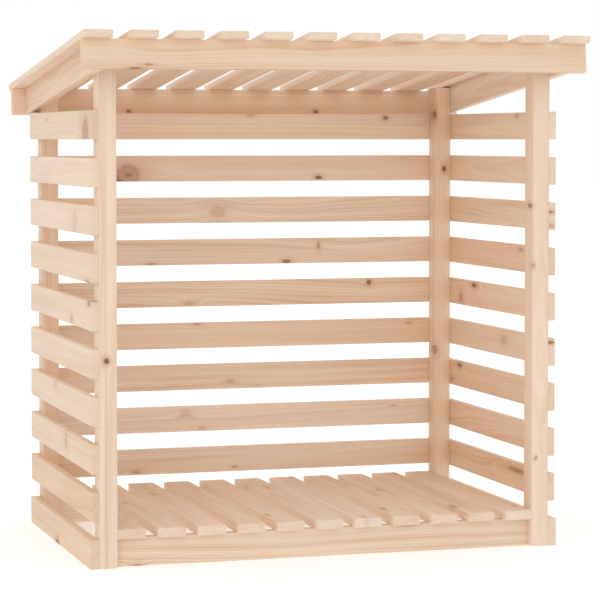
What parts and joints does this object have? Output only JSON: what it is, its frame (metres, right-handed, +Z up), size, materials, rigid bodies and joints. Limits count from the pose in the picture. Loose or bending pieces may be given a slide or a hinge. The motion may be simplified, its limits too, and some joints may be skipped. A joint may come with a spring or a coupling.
{
  "type": "log store",
  "caption": "Open-fronted slatted timber log store with a raised slatted floor, slatted sides and back, and a slatted roof that falls to the rear.",
  "frame": {"origin": "on the ground, under the middle of the whole store's box", "axes": "+Z up, -Y out of the open front, +X to the right as seen from the front"},
  "size_m": [1.08, 0.8414, 1.0899],
  "materials": {
    "pine": "planed and untreated, with knots and a straight grain"
  },
  "bodies": {
    "root": {"front_left_post": "pine", "front_right_post": "pine", "rear_left_post": "pine", "rear_right_post": "pine", "front_bottom_rail": "pine", "rear_bottom_rail": "pine", "left_bottom_rail": "pine", "right_bottom_rail": "pine", "floor_slats": "pine", "left_slat_1": "pine", "left_slat_2": "pine", "left_slat_3": "pine", "left_slat_4": "pine", "left_slat_5": "pine", "left_slat_6": "pine", "left_slat_7": "pine", "left_slat_8": "pine", "left_slat_9": "pine", "right_slat_1": "pine", "right_slat_2": "pine", "right_slat_3": "pine", "right_slat_4": "pine", "right_slat_5": "pine", "right_slat_6": "pine", "right_slat_7": "pine", "right_slat_8": "pine", "right_slat_9": "pine", "back_slat_1": "pine", "back_slat_2": "pine", "back_slat_3": "pine", "back_slat_4": "pine", "back_slat_5": "pine", "back_slat_6": "pine", "back_slat_7": "pine", "back_slat_8": "pine", "back_slat_9": "pine", "left_rafter": "pine", "right_rafter": "pine", "front_fascia": "pine", "rear_fascia": "pine", "roof_slats": "pine"}
  },
  "joints": []
}
